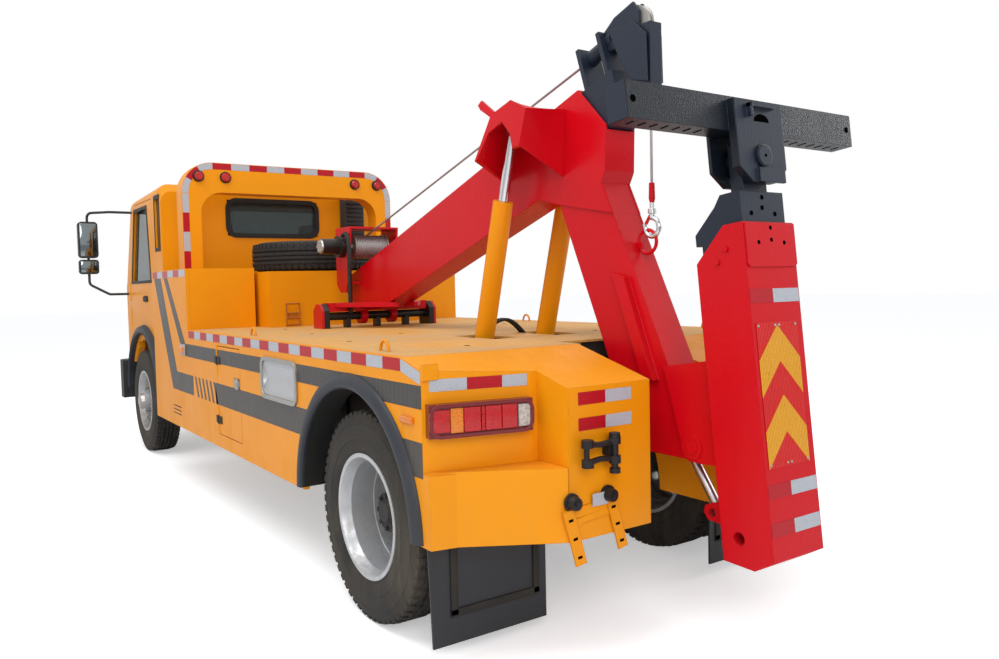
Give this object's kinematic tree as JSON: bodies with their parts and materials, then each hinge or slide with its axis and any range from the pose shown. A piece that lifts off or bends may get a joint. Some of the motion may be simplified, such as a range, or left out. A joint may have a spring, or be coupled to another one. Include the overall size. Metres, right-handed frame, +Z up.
{
  "type": "tow truck",
  "caption": "Two-axle wrecker with a sheet-sided body, sliding recovery boom with swivelling rope head, and a folding wheel-lift arm with crossbar.",
  "frame": {"origin": "on the ground, under the middle of the whole model's box", "axes": "+X forward along the truck, +Y to its left side, +Z up"},
  "size_m": [7.207, 2.814, 2.6994],
  "materials": {
    "body_yellow": "gloss amber-yellow",
    "boom_red": "gloss red",
    "slate_black": "satin slate black",
    "chassis_black": "satin black",
    "tyre_rubber": "matte, dusty",
    "rim_silver": "silver paint",
    "deck_plate": "worn chequer plate, dusty",
    "clear_glass": "tinted",
    "interior_grey": "grained",
    "dark_plastic": "grained",
    "lamp_red": "ribbed lens",
    "flap_rubber": "matte",
    "flare_grey": "blue-grey, grained",
    "chrome_rod": "ground and chromed",
    "zinc_steel": "plated",
    "tank_silver": "brushed"
  },
  "bodies": {
    "root": {"chassis_frame": "chassis_black", "engine_block": "chassis_black", "front_axle": "chassis_black", "rear_axle": "chassis_black", "prop_shaft": "chassis_black", "leaf_springs": "chassis_black", "fuel_tank": "tank_silver", "cab_shell": "body_yellow", "cab_glass": "clear_glass", "cab_interior": "interior_grey", "front_bumper": "dark_plastic", "mirrors": "dark_plastic", "lamps": "lamp_red", "deck": "deck_plate", "side_skirts": "body_yellow", "toolboxes": "chassis_black", "front_boxes": "body_yellow", "light_arch": "body_yellow", "tail": "body_yellow", "tail_brackets": "zinc_steel", "arch_flares": "flare_grey", "mud_flaps": "flap_rubber", "boom_base": "boom_red", "spare_tyre": "tyre_rubber", "spare_rim": "rim_silver"},
    "cab_door_left": {"cab_door_left": "body_yellow", "cab_door_glass_left": "clear_glass"},
    "cab_door_right": {"cab_door_right": "body_yellow", "cab_door_glass_right": "clear_glass"},
    "toolbox_door_left": {"toolbox_door_left": "body_yellow"},
    "toolbox_door_right": {"toolbox_door_right": "body_yellow"},
    "knuckle_left": {"knuckle_left": "chassis_black"},
    "knuckle_right": {"knuckle_right": "chassis_black"},
    "front_wheel_left": {"front_tyre_left": "tyre_rubber", "front_rim_left": "rim_silver"},
    "front_wheel_right": {"front_tyre_right": "tyre_rubber", "front_rim_right": "rim_silver"},
    "rear_wheels_left": {"rear_tyres_left": "tyre_rubber", "rear_rims_left": "rim_silver"},
    "rear_wheels_right": {"rear_tyres_right": "tyre_rubber", "rear_rims_right": "rim_silver"},
    "boom": {"boom": "boom_red", "lift_hoods": "boom_red", "winch_frame": "boom_red", "hook": "slate_black"},
    "winch_drum": {"winch_drum": "zinc_steel"},
    "inner_boom": {"inner_boom": "slate_black"},
    "swivel_head": {"swivel_head": "slate_black"},
    "sheave": {"sheave": "zinc_steel"},
    "lift_barrels": {"lift_barrels": "body_yellow"},
    "lift_rods": {"lift_rods": "chrome_rod"},
    "folding_arm": {"folding_arm": "boom_red"},
    "second_stage": {"second_stage": "slate_black"},
    "crossbar": {"crossbar": "slate_black"},
    "fold_barrel": {"fold_barrel": "boom_red"},
    "fold_rod": {"fold_rod": "chrome_rod"}
  },
  "joints": [
    {"name": "steer_left", "type": "hinge", "parent": "root", "child": "knuckle_left", "pos_m": [2.5735, 0.79, 0.45], "axis": [0, 0, 1], "range_deg": [-32, 32]},
    {"name": "steer_right", "type": "hinge", "parent": "root", "child": "knuckle_right", "pos_m": [2.5735, -0.79, 0.45], "axis": [0, 0, 1], "range_deg": [-32, 32]},
    {"name": "front_wheel_left_spin", "type": "hinge", "parent": "knuckle_left", "child": "front_wheel_left", "pos_m": [2.5735, 0.9, 0.47], "axis": [0, 1, 0], "continuous": true},
    {"name": "front_wheel_right_spin", "type": "hinge", "parent": "knuckle_right", "child": "front_wheel_right", "pos_m": [2.5735, -0.9, 0.47], "axis": [0, 1, 0], "continuous": true},
    {"name": "rear_wheels_left_spin", "type": "hinge", "parent": "root", "child": "rear_wheels_left", "pos_m": [-2.1965, 0.8525, 0.47], "axis": [0, 1, 0], "continuous": true},
    {"name": "rear_wheels_right_spin", "type": "hinge", "parent": "root", "child": "rear_wheels_right", "pos_m": [-2.1965, -0.8525, 0.47], "axis": [0, 1, 0], "continuous": true},
    {"name": "cab_door_left_hinge", "type": "hinge", "parent": "root", "child": "cab_door_left", "pos_m": [3.1385, 0.98, 1.325], "axis": [0, 0, -1], "range_deg": [0, 70]},
    {"name": "cab_door_right_hinge", "type": "hinge", "parent": "root", "child": "cab_door_right", "pos_m": [3.1385, -0.98, 1.325], "axis": [0, 0, 1], "range_deg": [0, 70]},
    {"name": "toolbox_door_left_hinge", "type": "hinge", "parent": "root", "child": "toolbox_door_left", "pos_m": [-0.1615, 1.126, 0.84], "axis": [0, 0, -1], "range_deg": [0, 100]},
    {"name": "toolbox_door_right_hinge", "type": "hinge", "parent": "root", "child": "toolbox_door_right", "pos_m": [-0.1615, -1.126, 0.84], "axis": [0, 0, 1], "range_deg": [0, 100]},
    {"name": "boom_lift", "type": "hinge", "parent": "root", "child": "boom", "pos_m": [-0.1965, 0, 1.28], "axis": [0, 1, 0], "range_deg": [-4, 11]},
    {"name": "boom_extend", "type": "slide", "parent": "boom", "child": "inner_boom", "axis": [-0.9521, 0, 0.3057], "range_m": [0, 0.6]},
    {"name": "head_swivel", "type": "hinge", "parent": "inner_boom", "child": "swivel_head", "pos_m": [-2.47322, 0, 2.51717], "axis": [-0.9521, 0, 0.3057], "range_deg": [-45, 45]},
    {"name": "sheave_spin", "type": "hinge", "parent": "swivel_head", "child": "sheave", "pos_m": [-2.79544, 0, 2.59962], "axis": [0, 1, 0], "continuous": true},
    {"name": "winch_drum_spin", "type": "hinge", "parent": "boom", "child": "winch_drum", "pos_m": [-0.0765, 0, 1.765], "axis": [0, 1, 0], "continuous": true},
    {"name": "lift_barrels_tilt", "type": "hinge", "parent": "root", "child": "lift_barrels", "pos_m": [-1.7965, 0, 1], "axis": [0, 1, 0], "range_deg": [-5.14, 12.38]},
    {"name": "lift_rods_slide", "type": "slide", "parent": "lift_barrels", "child": "lift_rods", "axis": [-0.2691, 0, 0.9631], "range_m": [-0.1232, 0.3213]},
    {"name": "arm_fold", "type": "hinge", "parent": "boom", "child": "folding_arm", "pos_m": [-3.1825, 0, 0.8], "axis": [0, -1, 0], "range_deg": [0, 96]},
    {"name": "arm_extend", "type": "slide", "parent": "folding_arm", "child": "second_stage", "axis": [0.105, 0, 0.9945], "range_m": [0, 0.6]},
    {"name": "crossbar_swivel", "type": "hinge", "parent": "second_stage", "child": "crossbar", "pos_m": [-3.44505, 0, 1.93995], "axis": [-0.9945, 0, 0.105], "range_deg": [-40, 40]},
    {"name": "fold_barrel_tilt", "type": "hinge", "parent": "boom", "child": "fold_barrel", "pos_m": [-2.6565, 0, 1.35], "axis": [0, 1, 0], "range_deg": [-12.45, 1]},
    {"name": "fold_rod_slide", "type": "slide", "parent": "fold_barrel", "child": "fold_rod", "axis": [-0.5761, 0, -0.8174], "range_m": [-0.3868, 0.01]}
  ],
  "couplings": [
    {"joint": "steer_right", "follows": "steer_left", "ratio": 1},
    {"joint": "lift_barrels_tilt", "follows": "boom_lift", "ratio": 1.0348},
    {"joint": "lift_rods_slide", "follows": "boom_lift", "m_per_rad": 1.6213},
    {"joint": "fold_barrel_tilt", "follows": "arm_fold", "ratio": -0.11931},
    {"joint": "fold_rod_slide", "follows": "arm_fold", "m_per_rad": -0.22489}
  ]
}
